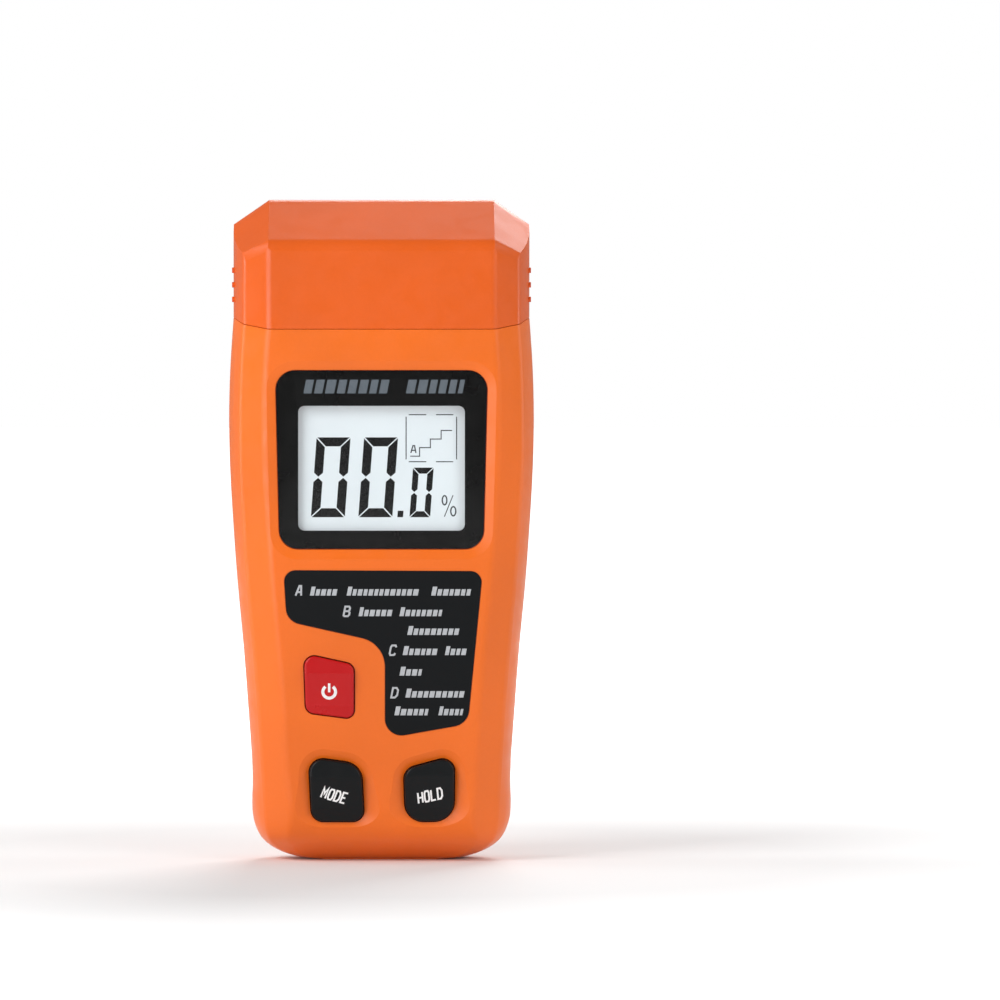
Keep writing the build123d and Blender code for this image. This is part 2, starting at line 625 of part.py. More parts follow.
def hex_nut(x, z0, tall):
    """A nut whose upper corners are turned off at a slope."""
    nut = extrude(RegularPolygon(NUT_FLATS / 2, 6, major_radius=False, rotation=30), amount=tall)
    radius, slope = NUT_FLATS / 2 + 0.05, 1.2
    turned = Pos(0, 0, tall - slope / 2) * Cone(radius + 2.0, radius, slope)
    turned += rod_z(0, 0, 0, tall - slope, radius + 2.0)
    bore = Cylinder(STUD_R + FIT, 3 * tall)
    return Pos(x, 0, z0) * ((nut & turned) - bore)


def ring(x, z0, tall, outer, inner):
    return rod_z(x, 0, z0, z0 + tall, outer) - rod_z(x, 0, z0 - 1, z0 + tall + 1, inner)


def solder_lug(x):
    low, high = BLOCK_Z0 - 0.5, BLOCK_Z0 - 0.05
    lug = rod_z(x, 0, low, high, 2.5) + block(x - 0.9, x + 0.9, -6.2, 0, low, high)
    return lug - rod_z(x, 0, low - 1, high + 1, STUD_R + FIT)


def wire(points, bend, radius):
    """A round wire along straight runs with rounded bends."""
    path = FilletPolyline(*points, radius=bend)
    profile = Plane(origin=path @ 0, z_dir=path % 0) * Circle(radius)
    return sweep(profile, path=path)


def pin_lead(side):
    x = side * PIN_PITCH / 2
    points = [(x, -5.6, 119.0), (x + side * 0.4, -5.8, 115.2), (x + side * 1.2, -6.4, 111.4),
              (x + side * 1.6, -6.2, 108.4), (x + side * 1.2, -3.95, 106.6)]
    return wire(points, 1.2, 0.6)


def battery_leads():
    """From each contact's tail, down behind the board to a pad near its edge."""
    x = BAY_X - 0.25
    upper = [(x, -0.2, 100.7), (22.4, -0.8, 96.6), (21.0, -0.9, 90.0),
             (19.4, -0.9, 86.2), (18.3, -1.4, 84.2)]
    lower = [(x, -0.2, 89.5), (23.4, -0.6, 86.4), (22.0, -0.9, 83.4), (20.8, -1.4, 81.4)]
    return wire(upper, 1.0, 0.45), wire(lower, 1.0, 0.45)


# ---------------------------------------------------------------- everything
def main():
    os.makedirs("parts", exist_ok=True)
    ahead_part, behind_part, outer = case_halves()
    skin = outer - case_solid(LABEL_THICK)
    upper_lead, lower_lead = battery_leads()
    pieces = {
        "front_shell": front_shell(ahead_part, outer, skin),
        "rear_shell": rear_shell(behind_part, outer, outer - case_solid(DOOR_THICK + 0.1)),
        "battery_door": battery_door(outer),
        "protective_cap": protective_cap(),
        "display_lens": display_lens(),
        "lens_mask": lens_mask(),
        "reference_label": reference_label(skin),
        "main_board": main_board(),
        "processor_chip": chip(4.0, 55.0, 9.0, 9.0, 1.2, 8),
        "amplifier_chip": chip(-10.0, 78.0, 4.0, 5.0, 1.4, 4),
        "small_components": small_components(),
        "board_screws": Compound(children=[board_screw(x, z) for x, z in boss_places(STANDOFFS)]),
        "case_screws": Compound(children=[case_screw(x, z) for x, z in boss_places(CASE_SCREWS)]),
        "battery_cell_lower": cell(CELL_Z[0], turned=False),
        "battery_cell_upper": cell(CELL_Z[1], turned=True),
        "battery_bridge": contact_plate(-1, CELL_Z, tail=False),
        "battery_contact_lower": contact_plate(1, CELL_Z[:1], tail=True),
        "battery_contact_upper": contact_plate(1, CELL_Z[1:], tail=True),
        "battery_lead_lower": lower_lead,
        "battery_lead_upper": upper_lead,
        "electrode_block": electrode_block(),
        "inner_nuts": Compound(children=[hex_nut(side * PIN_PITCH / 2, 117.0, 2.0) for side in (-1, 1)]),
    }
    pieces.update(display_pieces())
    for key in KEYS:
        base, plunger = switch_pieces(key)
        pieces[f"{key}_button"] = key_piece(key)
        pieces[f"{key}_switch"] = base
        pieces[f"{key}_plunger"] = plunger
    for name, side in (("left", -1), ("right", 1)):
        x = side * PIN_PITCH / 2
        pieces[f"electrode_pin_{name}"] = electrode_pin(side)
        pieces[f"pin_nut_{name}"] = hex_nut(x, NOSE_TOP + WASHER_TALL, NUT_TALL)
        pieces[f"pin_washer_{name}"] = ring(x, NOSE_TOP, WASHER_TALL, WASHER_R, STUD_R + FIT)
        pieces[f"pin_bush_{name}"] = ring(x, BLOCK_Z0, BLOCK_Z1 - BLOCK_Z0, BUSH_R, STUD_R + FIT)
        pieces[f"solder_lug_{name}"] = solder_lug(x)
        pieces[f"pin_lead_{name}"] = pin_lead(side)
    for name, piece in pieces.items():
        export(piece, name)


main()
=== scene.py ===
"""Looks of the handheld moisture meter: materials, printed marks, display content, light, camera."""
import json
import math
import random

import bmesh
import bpy
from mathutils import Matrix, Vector
from mathutils.bvhtree import BVHTree


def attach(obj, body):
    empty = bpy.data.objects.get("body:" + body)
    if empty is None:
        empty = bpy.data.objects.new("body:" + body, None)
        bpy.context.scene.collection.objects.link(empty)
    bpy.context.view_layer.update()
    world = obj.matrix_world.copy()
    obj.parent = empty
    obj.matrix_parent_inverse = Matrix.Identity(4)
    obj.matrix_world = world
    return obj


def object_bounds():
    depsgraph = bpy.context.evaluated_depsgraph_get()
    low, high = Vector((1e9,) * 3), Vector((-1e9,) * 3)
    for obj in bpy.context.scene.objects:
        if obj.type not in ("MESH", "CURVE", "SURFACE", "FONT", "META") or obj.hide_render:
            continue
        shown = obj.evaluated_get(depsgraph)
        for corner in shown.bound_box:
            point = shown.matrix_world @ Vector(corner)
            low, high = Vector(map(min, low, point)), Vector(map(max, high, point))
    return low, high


MM = 0.001
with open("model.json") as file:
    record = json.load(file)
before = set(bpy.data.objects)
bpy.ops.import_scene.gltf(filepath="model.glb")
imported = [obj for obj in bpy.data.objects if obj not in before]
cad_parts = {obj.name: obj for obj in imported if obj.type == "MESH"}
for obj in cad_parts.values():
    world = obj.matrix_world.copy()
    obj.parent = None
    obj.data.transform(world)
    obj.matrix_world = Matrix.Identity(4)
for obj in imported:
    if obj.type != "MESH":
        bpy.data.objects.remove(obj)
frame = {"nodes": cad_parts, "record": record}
CAD_LOW, CAD_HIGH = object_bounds()

# ---------------------------------------------------------------- picture
PICTURE_WIDTH = 0.2198         # metres across the picture at the meter
LENS = 250.0
SENSOR = 36.0
CAMERA_RISE = math.radians(1.5)
CENTRE_SHARE = 0.3815          # the meter's centre, across the picture
FLOOR_SHARE = 0.8600           # its foot, down the picture
ROOM_LIGHT = 0.30
FLOOR_RADIUS = 6.0
GLOW_FROM, GLOW_TO = 0.10, 0.55        # metres from the middle where the floor turns white
MIDDLE = (0, 0, 0.07)
LIGHTS = (
    # name, place, aim, size, power
    ("key", (-0.70, -0.60, 0.75), MIDDLE, (0.55, 0.55), 6.2),
    ("fill", (0.75, -0.75, 0.55), MIDDLE, (0.5, 0.7), 3.4),
    ("low", (-0.55, -0.85, 0.10), (0, 0, 0.04), (0.6, 0.2), 2.2),
    ("rim_left", (-0.85, 0.10, 0.25), MIDDLE, (0.25, 0.8), 2.5),
    ("rim_right", (0.85, 0.15, 0.25), MIDDLE, (0.25, 0.8), 1.6),
    ("back", (0.25, 0.8, 0.7), MIDDLE, (0.6, 0.6), 6.0),
)

# ---------------------------------------------------------------- materials' measures
NOISE_ROUGHNESS = 0.55
LENS_GLOSS, LENS_STEEPNESS = (0.018, 0.45), 4.0   # mirror share square-on and edge-on; its power
CELL_HALF_LENGTH = 0.0224

# ---------------------------------------------------------------- marks, in mm: x across, z up
TITLE_Z = (102.7, 105.7)
TITLE_WORDS = ((-17.0, 2.3), (5.3, 17.6))
LABEL_ROWS = (
    # code letter and its x, baseline z, words as (left, right)
    ("A", -18.7, 58.7, ((-15.6, -9.3), (-7.6, 8.3), (10.8, 19.9))),
    ("B", -8.3, 54.2, ((-5.0, 2.6), (3.9, 13.0))),
    (None, 0.0, 50.1, ((5.6, 16.7),)),
    ("C", 1.7, 45.7, ((4.6, 12.7), (13.8, 18.8))),
    (None, 0.0, 41.2, ((3.9, 8.6),)),
    ("D", 2.1, 36.4, ((5.2, 18.4),)),
    (None, 0.0, 32.5, ((2.8, 10.0), (12.4, 17.6))),
)
SLANT = 0.20                   # sideways lean of the printed marks, per unit of height
TITLE_PITCH = 2.4
LABEL_LETTER = (1.2, 2.1, 0.40)                            # width, height, stroke
LABEL_TALL, LABEL_CAPITAL, LABEL_PITCH = 1.4, 1.95, 1.3
BLOCK_SHARE, BLOCK_GAP, BLOCK_LEAST = (0.60, 0.86), 0.24, 0.4   # parts of the pitch
MITRE_LIMIT = 0.35             # keeps a sharp bend's corner short

# Key legends: word, centre and turn; letter width, height, pitch and stroke
LEGENDS = {"mode": ("MODE", (-10.2, 14.9), -0.26), "hold": ("HOLD", (10.7, 14.9), 0.22)}
LEGEND_WIDE, LEGEND_TALL, LEGEND_PITCH, LEGEND_STROKE, LEGEND_LEAN = 0.95, 2.3, 1.45, 0.38, 0.12
POWER_CENTRE, POWER_RADIUS, POWER_STROKE = (-11.4, 37.7), 1.38, 0.66
POWER_GAP = math.radians(36)   # half the opening at the ring's top
POWER_BAR, POWER_BAR_STROKE = (-0.1, 1.85), 0.52
RING_STEPS, OVAL_STEPS = 24, 20

# Display: a reading of 00.0, a per cent sign and a staircase sign in a broken frame
READ_BASE, READ_LEAN = 75.7, 0.072
BIG_ZERO = dict(wide=7.4, tall=17.4, stroke=1.95, gap=0.26)
SMALL_ZERO = dict(wide=4.5, tall=10.8, stroke=1.3, gap=0.2)
ZEROS = ((-15.4, BIG_ZERO), (-5.05, BIG_ZERO), (6.1, SMALL_ZERO))
POINT_X, POINT_WIDE, POINT_TALL = 3.45, 1.25, 1.4
PERCENT_RINGS = (((13.75, 79.4), 0.5), ((15.65, 77.0), 0.55))
PERCENT_RING_TALL, PERCENT_STROKE = 1.0, 0.30
PERCENT_BAR, PERCENT_BAR_STROKE = ((13.7, 75.8), (15.6, 80.5)), 0.20
SIGN_STROKE = 0.22
FRAME_X, FRAME_Z = (5.36, 16.36), (87.8, 98.05)
FRAME_POSTS = (88.3, 97.6)
FRAME_DASHES = ((5.95, 9.75), (11.9, 15.65))
STAIR_START, STAIR_END = (6.25, 89.0), 15.4
STAIR_FIRST, STAIR_RUN, STAIR_RISE, STAIR_COUNT = 8.3, 2.35, 1.87, 3
SIGN_LETTER, SIGN_LETTER_LEAN = (6.4, 89.7, 1.1, 1.6, 0.26), 0.05   # place, size, stroke

GLYPHS = {
    "A": [[(0, 0), (0.34, 1), (0.66, 1), (1, 0)], [(0.2, 0.36), (0.8, 0.36)]],
    "B": [[(0, 0), (0, 1), (0.72, 1), (0.92, 0.84), (0.92, 0.66), (0.72, 0.52), (0.14, 0.52)],
          [(0.72, 0.52), (1, 0.38), (1, 0.15), (0.8, 0), (0, 0)]],
    "C": [[(1, 0.8), (0.82, 1), (0.18, 1), (0, 0.82), (0, 0.18), (0.18, 0), (0.82, 0), (1, 0.2)]],
    "D": [[(0, 0), (0, 1), (0.66, 1), (1, 0.76), (1, 0.24), (0.66, 0), (0, 0)]],
    "E": [[(1, 1), (0, 1), (0, 0), (1, 0)], [(0.14, 0.5), (0.8, 0.5)]],
    "H": [[(0, 0), (0, 1)], [(1, 0), (1, 1)], [(0.14, 0.5), (0.86, 0.5)]],
    "L": [[(0, 1), (0, 0), (1, 0)]],
    "M": [[(0, 0), (0, 1), (0.5, 0.42), (1, 1), (1, 0)]],
    "O": [[(0.2, 0), (0, 0.18), (0, 0.82), (0.2, 1), (0.8, 1), (1, 0.82), (1, 0.18), (0.8, 0), (0.2, 0)]],
}


# ---------------------------------------------------------------- shader helpers
class Shader:
    """A material under construction."""

    def __init__(self, name):
        self.material = bpy.data.materials.new(name)
        self.material.use_nodes = True
        self.nodes = self.material.node_tree.nodes
        self.links = self.material.node_tree.links
        self.surface = self.nodes["Principled BSDF"]
        self.where = self.nodes.new("ShaderNodeTexCoord").outputs["Object"]

    def put(self, **values):
        for key, value in values.items():
            self.surface.inputs[key.replace("_", " ")].default_value = value
        return self

    def noise(self, size, detail=3.0):
        """Noise whose features are about size metres across."""
        node = self.nodes.new("ShaderNodeTexNoise")
        node.inputs["Scale"].default_value = 1.0 / size
        node.inputs["Detail"].default_value = detail
        node.inputs["Roughness"].default_value = NOISE_ROUGHNESS
        self.links.new(self.where, node.inputs["Vector"])
        return node.outputs["Fac"]

    def ramp(self, value, stops, smooth=True):
        node = self.nodes.new("ShaderNodeValToRGB")
        node.color_ramp.interpolation = "EASE" if smooth else "CONSTANT"
        elements = node.color_ramp.elements
        while len(elements) < len(stops):
            elements.new(0.5)
        for element, (at, colour) in zip(elements, stops):
            element.position = at
            element.color = colour if len(colour) == 4 else (*colour, 1)
        self.links.new(value, node.inputs["Fac"])
        return node.outputs["Color"]

    def spread(self, value, low, high):
        node = self.nodes.new("ShaderNodeMapRange")
        node.inputs["From Min"].default_value = 0.3
        node.inputs["From Max"].default_value = 0.7
        node.inputs["To Min"].default_value = low
        node.inputs["To Max"].default_value = high
        self.links.new(value, node.inputs["Value"])
        return node.outputs["Result"]

    def mix(self, share, first, second):
        node = self.nodes.new("ShaderNodeMix")
        node.data_type = "RGBA"
        for socket, value in ((node.inputs[0], share), (node.inputs[6], first), (node.inputs[7], second)):
            if isinstance(value, bpy.types.NodeSocket):
                self.links.new(value, socket)
            else:
                socket.default_value = value
        return node.outputs[2]

    def bump(self, *layers):
        """layers: (height socket, depth in metres)."""
        normal = None
        for height, depth in layers:
            node = self.nodes.new("ShaderNodeBump")
            node.inputs["Distance"].default_value = depth
            self.links.new(height, node.inputs["Height"])
            if normal:
                self.links.new(normal, node.inputs["Normal"])
            normal = node.outputs["Normal"]
        self.links.new(normal, self.surface.inputs["Normal"])
        return self

    def drive(self, key, socket):
        self.links.new(socket, self.surface.inputs[key])
        return self

    def axis(self, name):
        node = self.nodes.new("ShaderNodeSeparateXYZ")
        self.links.new(self.where, node.inputs[0])
        return node.outputs[name]


def rgb(code):
    """Scene colour of a plain screen colour."""
    parts = [int(code[at:at + 2], 16) / 255 for at in (0, 2, 4)]
    return tuple(part / 12.92 if part <= 0.04045 else ((part + 0.055) / 1.055) ** 2.4 for part in parts)


def shade(colour, factor):
    return tuple(min(1.0, part * factor) for part in colour)


# ---------------------------------------------------------------- materials
def moulded(name, colour, rough=(0.30, 0.42), grain=0.00022, depth=0.000012, vary=0.05, gloss=0.5):
    """Injection-moulded plastic: slow tint drift, satin gloss, fine spark-eroded texture."""
    s = Shader(name)
    drift = s.noise(0.035, detail=2)
    tone = s.ramp(drift, [(0.3, shade(colour, 1 - vary)), (0.7, shade(colour, 1 + vary))])
    speck = s.noise(0.0006, detail=2)
    s.drive("Base Color", s.mix(s.spread(speck, 0.0, 0.10), tone, (*shade(colour, 0.80), 1)))
    s.drive("Roughness", s.spread(s.noise(0.004), *rough))
    s.bump((s.noise(grain, detail=2), depth), (s.noise(0.012, detail=1), 0.00002))
    return s.put(Specular_IOR_Level=gloss).material


def printed(name, colour, rough=0.45):
    """Screen-printed ink with a faintly uneven film."""
    s = Shader(name)
    film = s.noise(0.0005, detail=3)
    s.drive("Base Color", s.ramp(film, [(0.3, shade(colour, 0.88)), (0.65, colour)]))
    s.drive("Roughness", s.spread(film, rough - 0.08, rough + 0.08))
    return s.bump((film, 0.000003)).put(Specular_IOR_Level=0.2).material


def metal(name, colour, rough=(0.18, 0.32), turned=0.0002, depth=0.000008):
    """Turned or plated metal with fine tool marks round its axis."""
    s = Shader(name)
    height = s.axis("Z")
    wave = s.nodes.new("ShaderNodeTexNoise")
    wave.noise_dimensions = "1D"
    wave.inputs["Scale"].default_value = 1.0 / turned
    s.links.new(height, wave.inputs["W"])
    stain = s.noise(0.0015)
    s.drive("Base Color", s.ramp(stain, [(0.35, shade(colour, 0.78)), (0.65, colour)]))
    s.drive("Roughness", s.spread(wave.outputs["Fac"], *rough))
    s.bump((wave.outputs["Fac"], depth))
    return s.put(Metallic=1.0).material


def clear_acrylic():
    """A thin clear window: what is behind shows through, with a gloss on top."""
    s = Shader("clear_acrylic")
    s.put(Metallic=1.0, Base_Color=(1, 1, 1, 1))
    s.drive("Roughness", s.spread(s.noise(0.02), 0.015, 0.05))
    facing = s.nodes.new("ShaderNodeLayerWeight")
    steep = s.nodes.new("ShaderNodeMath")
    steep.operation = "POWER"
    steep.inputs[1].default_value = LENS_STEEPNESS
    gloss = s.nodes.new("ShaderNodeMapRange")
    gloss.inputs["To Min"].default_value, gloss.inputs["To Max"].default_value = LENS_GLOSS
    s.links.new(facing.outputs["Facing"], steep.inputs[0])
    s.links.new(steep.outputs[0], gloss.inputs["Value"])
    clear = s.nodes.new("ShaderNodeBsdfTransparent")
    blend = s.nodes.new("ShaderNodeMixShader")
    s.links.new(gloss.outputs["Result"], blend.inputs[0])
    s.links.new(clear.outputs[0], blend.inputs[1])
    s.links.new(s.surface.outputs[0], blend.inputs[2])
    s.links.new(blend.outputs[0], s.nodes["Material Output"].inputs["Surface"])
    return s.material


def film_black():
    """The black print behind the window: deep, even, a little cloudy up close."""
    s = Shader("film_black")
    cloud = s.noise(0.006)
    s.drive("Base Color", s.ramp(cloud, [(0.3, (0.0010, 0.0010, 0.0012)), (0.7, (0.0022, 0.0022, 0.0024))]))
    s.drive("Roughness", s.spread(cloud, 0.25, 0.35))
    return s.bump((cloud, 0.000002)).put(Specular_IOR_Level=0.15).material


def display_glass():
    """The pale panel of the display, with its fine reflector grain, and a faint painted glow that lifts it
    out of the shade of the window.
    """
    s = Shader("display_glass")
    pale = rgb("d6dfe3")
    grain = s.noise(0.00012, detail=2)
    tone = s.ramp(s.noise(0.03, detail=1), [(0.3, shade(pale, 0.97)), (0.7, shade(pale, 1.03))])
    face = s.mix(s.spread(grain, 0.0, 0.16), tone, (*shade(pale, 0.86), 1))
    s.drive("Base Color", face)
    # Painted light: the panel glows faintly in its own colour to lift the shade cast by the window's walls
    # and the lens.
    s.drive("Emission Color", face)
    s.put(Emission_Strength=0.16, Roughness=0.3, Specular_IOR_Level=0.2)
    return s.bump((grain, 0.000002)).material


def board_laminate():
    """Green solder mask with copper tracks under it."""
    s = Shader("board_laminate")
    brick = s.nodes.new("ShaderNodeTexBrick")
    brick.inputs["Scale"].default_value = 260.0
    brick.inputs["Mortar Size"].default_value = 0.06
    turn = s.nodes.new("ShaderNodeMapping")
    turn.inputs["Rotation"].default_value = (math.pi / 2, 0, 0)
    s.links.new(s.where, turn.inputs["Vector"])
    s.links.new(turn.outputs[0], brick.inputs["Vector"])
    tracks = s.mix(brick.outputs["Fac"], (0.012, 0.13, 0.05, 1), (0.03, 0.24, 0.09, 1))
    s.drive("Base Color", s.mix(s.spread(s.noise(0.004), 0, 0.2), tracks, (0.006, 0.08, 0.03, 1)))
    s.drive("Roughness", s.spread(s.noise(0.002), 0.25, 0.4))
    return s.bump((brick.outputs["Fac"], 0.00002)).put(Coat_Weight=0.3).material


def cell_sleeve():
    """A dry cell: bare steel at its ends, a dark sleeve with one copper band."""
    s = Shader("cell_sleeve")
    along = s.axis("X")
    node = s.nodes.new("ShaderNodeMapRange")
    node.inputs["From Min"].default_value = -CELL_HALF_LENGTH
    node.inputs["From Max"].default_value = CELL_HALF_LENGTH
    s.links.new(along, node.inputs["Value"])
    place = node.outputs["Result"]
    steel, dark, copper = (0.55, 0.55, 0.56), (0.012, 0.014, 0.018), (0.50, 0.20, 0.07)
    starts = (0.0, 0.035, 0.62, 0.93, 0.965)
    tone = s.ramp(place, list(zip(starts, (steel, dark, copper, dark, steel))), smooth=False)
    scuff = s.noise(0.0012, detail=4)
    s.drive("Base Color", s.mix(s.spread(scuff, 0, 0.15), tone, (0.3, 0.3, 0.3, 1)))
    bare = [(share,) * 3 for share in (1.0, 0.1, 0.6, 0.1, 1.0)]
    s.drive("Metallic", s.ramp(place, list(zip(starts, bare)), smooth=False))
    s.drive("Roughness", s.spread(scuff, 0.22, 0.4))
    return s.material


def striped_rubber():
    s = Shader("striped_rubber")
    wave = s.nodes.new("ShaderNodeTexWave")
    wave.inputs["Scale"].default_value = 1200.0
    s.links.new(s.where, wave.inputs["Vector"])
    dark, grey = (0.02, 0.02, 0.02), (0.25, 0.25, 0.26)
    s.drive("Base Color", s.ramp(wave.outputs["Fac"], [(0.4, dark), (0.6, grey)]))
    return s.bump((s.noise(0.0004), 0.00001)).put(Roughness=0.8).material


def make_materials():
    # The cap is the case's orange plastic; its darker orange is painted shade, a shaded copy of the case
    # colour.
    orange, cap_painted_shade_orange = rgb("ea6a0a"), rgb("df5b07")
    return {
        "case_orange": moulded("case_orange", orange),
        "cap_orange": moulded("cap_orange", cap_painted_shade_orange, rough=(0.28, 0.40)),
        "clear_lens": clear_acrylic(),
        "gloss_black": film_black(),
        "label_black": moulded("label_black", rgb("06090c"), rough=(0.40, 0.50), depth=0.000004,
                               gloss=0.18),
        "lcd_glass": display_glass(),
        "light_guide": moulded("light_guide", (0.82, 0.85, 0.86), rough=(0.4, 0.5)),
        "white_plastic": moulded("white_plastic", (0.75, 0.75, 0.72)),
        "dark_rubber": striped_rubber(),
        "board_green": board_laminate(),
        "chip_black": moulded("chip_black", (0.018, 0.018, 0.02), rough=(0.45, 0.6)),
        "ceramic": moulded("ceramic", (0.36, 0.24, 0.13), rough=(0.3, 0.5)),
        "plunger_white": moulded("plunger_white", (0.7, 0.7, 0.67)),
        "key_red": moulded("key_red", rgb("be0a10"), rough=(0.26, 0.36), vary=0.07, gloss=0.35),
        "key_black": moulded("key_black", rgb("0c0f11"), rough=(0.30, 0.40), vary=0.12, gloss=0.22),
        "screw_steel": metal("screw_steel", (0.56, 0.57, 0.58)),
        "cell_wrap": cell_sleeve(),
        "nickel": metal("nickel", (0.50, 0.47, 0.43), rough=(0.16, 0.26), depth=0.000004),
        "pin_steel": metal("pin_steel", (0.13, 0.125, 0.12), rough=(0.20, 0.28), depth=0.000002),
        "brass": metal("brass", (0.72, 0.50, 0.22)),
        "wire_red": moulded("wire_red", (0.42, 0.02, 0.015), rough=(0.4, 0.5)),
        "wire_black": moulded("wire_black", (0.01, 0.01, 0.01), rough=(0.4, 0.5)),
    }


def dress_nodes(materials):
    for part in frame["record"]["subparts"]:
        piece = frame["nodes"][part["node"]]
        piece.data.materials.clear()
        piece.data.materials.append(materials[part["material_slot"]])


# ---------------------------------------------------------------- marks laid on a surface
class Surface:
    """The front of a CAD node, for laying thin marks on it."""

    def __init__(self, node):
        mesh = frame["nodes"][node].data
        self.tree = BVHTree.FromPolygons([v.co for v in mesh.vertices], [p.vertices for p in mesh.polygons])

    def y(self, x, z):
        hit = self.tree.ray_cast(Vector((x, -0.1, z)), Vector((0, 1, 0)))[0]
        return hit.y


class Marks:
    """Thin raised shapes, drawn in mm on a node's front, gathered into one piece."""

    def __init__(self, name, node, body, material, slot, film=0.03):
        self.name, self.body, self.material, self.slot = name, body, material, slot
        self.surface, self.film = Surface(node), film * MM
        self.points, self.faces = [], []

    def lay(self, x, z):
        """Adds a point on the film's face and one just under the surface."""
        x, z = x * MM, z * MM
        y = self.surface.y(x, z)
        self.points += [(x, y - self.film, z), (x, y + 0.2 * self.film, z)]
        return len(self.points) - 2

    def plate(self, outline):
        rows = [self.lay(x, z) for x, z in outline]
        self.faces.append(rows)
        self.faces.append([at + 1 for at in reversed(rows)])
        for first, second in zip(rows, rows[1:] + rows[:1]):
            self.faces.append([second, first, first + 1, second + 1])

    def ribbon(self, line, width):
        """A stroke of even width along a line, mitred at its bends, closed if it ends where it began."""
        closed = line[0] == line[-1]
        line = line[:-1] if closed else line
        count = len(line)
        sides = []
        for at, point in enumerate(line):
            before = line[at - 1] if at or closed else None
            after = line[(at + 1) % count] if at < count - 1 or closed else None
            sides.append(mitre(before, point, after, width / 2))
        left = [self.lay(*pair[0]) for pair in sides]
        right = [self.lay(*pair[1]) for pair in sides]
        for at in range(count if closed else count - 1):
            nxt = (at + 1) % count
            a, b, c, d = left[at], left[nxt], right[nxt], right[at]
            self.faces += [[a, b, c, d], [a + 1, d + 1, c + 1, b + 1]]
            self.faces += [[b, a, a + 1, b + 1], [d, c, c + 1, d + 1]]
        if not closed:
            for a, b in ((left[0], right[0]), (right[-1], left[-1])):
                self.faces.append([a, b, b + 1, a + 1])

    def build(self):
        mesh = bpy.data.meshes.new(self.name)
        mesh.from_pydata(self.points, [], self.faces)
        piece = bpy.data.objects.new(self.name, mesh)
        bpy.context.scene.collection.objects.link(piece)
        shell = bmesh.new()
        shell.from_mesh(mesh)
        bmesh.ops.recalc_face_normals(shell, faces=shell.faces)
        shell.to_mesh(mesh)
        shell.free()
        mesh.materials.append(self.material)
        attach(piece, self.body)


def mitre(before, point, after, half):
    """The two edge points of a stroke at one of its points."""
    here = Vector(point)
    ways = []
    if before:
        ways.append((here - Vector(before)).normalized())
    if after:
        ways.append((Vector(after) - here).normalized())
    along = sum(ways, Vector((0, 0))).normalized()
    across = Vector((-along.y, along.x))
    reach = half / max(MITRE_LIMIT, across.dot(Vector((-ways[0].y, ways[0].x))))
    return tuple(here + across * reach), tuple(here - across * reach)


def leaning_block(left, low, wide, tall, lean=SLANT):
    shift, right = lean * tall, left + wide
    return [(left, low), (right, low), (right + shift, low + tall), (left + shift, low + tall)]


def glyph(marks, letter, left, low, wide, tall, stroke, turn=0.0, centre=None, lean=SLANT):
    """One stroked letter; with a turn, it is turned about centre."""
    for line in GLYPHS[letter]:
        placed = []
        for u, v in line:
            x, z = left + u * wide + lean * v * tall, low + v * tall
            if centre:
                dx, dz = x - centre[0], z - centre[1]
                x = centre[0] + dx * math.cos(turn) - dz * math.sin(turn)
                z = centre[1] + dx * math.sin(turn) + dz * math.cos(turn)
            placed.append((x, z))
        marks.ribbon(placed, stroke)


def mock_word(marks, dice, start, end, base, tall, capital, pitch):
    """Leaning blocks with the rhythm of a printed word: a tall first one, then uneven low ones."""
    at = start
    while at < end - BLOCK_LEAST * pitch:
        wide = min(pitch * dice.uniform(*BLOCK_SHARE), end - at)
        marks.plate(leaning_block(at, base, wide, capital if at == start else tall))
        at += wide + BLOCK_GAP * pitch


def title_marks(material):
    marks = Marks("title_print", "lens_mask", "case", material, "lcd_glass", film=0.012)
    dice = random.Random(11)
    low, high = TITLE_Z
    for start, end in TITLE_WORDS:
        mock_word(marks, dice, start, end, low, high - low, high - low, TITLE_PITCH)
    marks.build()


def label_marks(material):
    """Code letters, and plain blocks in place of words."""
    marks = Marks("label_print", "reference_label", "case", material, "lcd_glass")
    dice = random.Random(7)
    for letter, left, base, words in LABEL_ROWS:
        if letter:
            glyph(marks, letter, left, base, *LABEL_LETTER)
        for start, end in words:
            mock_word(marks, dice, start, end, base, LABEL_TALL, LABEL_CAPITAL, LABEL_PITCH)
    marks.build()


def key_marks(material):
    for key, (word, centre, turn) in LEGENDS.items():
        marks = Marks(f"{key}_legend", f"{key}_button", f"{key}_key", material, "plunger_white")
        middle = 0.5 * (len(word) - 1) * LEGEND_PITCH
        start = centre[0] - middle - (LEGEND_WIDE + SLANT * LEGEND_TALL) / 2
        low = centre[1] - LEGEND_TALL / 2
        for at, letter in enumerate(word):
            left = start + at * LEGEND_PITCH
            size = (LEGEND_WIDE, LEGEND_TALL, LEGEND_STROKE)
            glyph(marks, letter, left, low, *size, turn, centre, LEGEND_LEAN)
        marks.build()
    power_mark(material)


def power_mark(material):
    """An open ring with a bar in its gap."""
    marks = Marks("power_legend", "power_button", "power_key", material, "plunger_white")
    x, z = POWER_CENTRE
    span = 2 * math.pi - 2 * POWER_GAP
    angles = [math.pi / 2 + POWER_GAP + span * at / RING_STEPS for at in range(RING_STEPS + 1)]
    ring = [(x + POWER_RADIUS * math.cos(a), z + POWER_RADIUS * math.sin(a)) for a in angles]
    marks.ribbon(ring, POWER_STROKE)
    marks.ribbon([(x, z + rise) for rise in POWER_BAR], POWER_BAR_STROKE)
    marks.build()


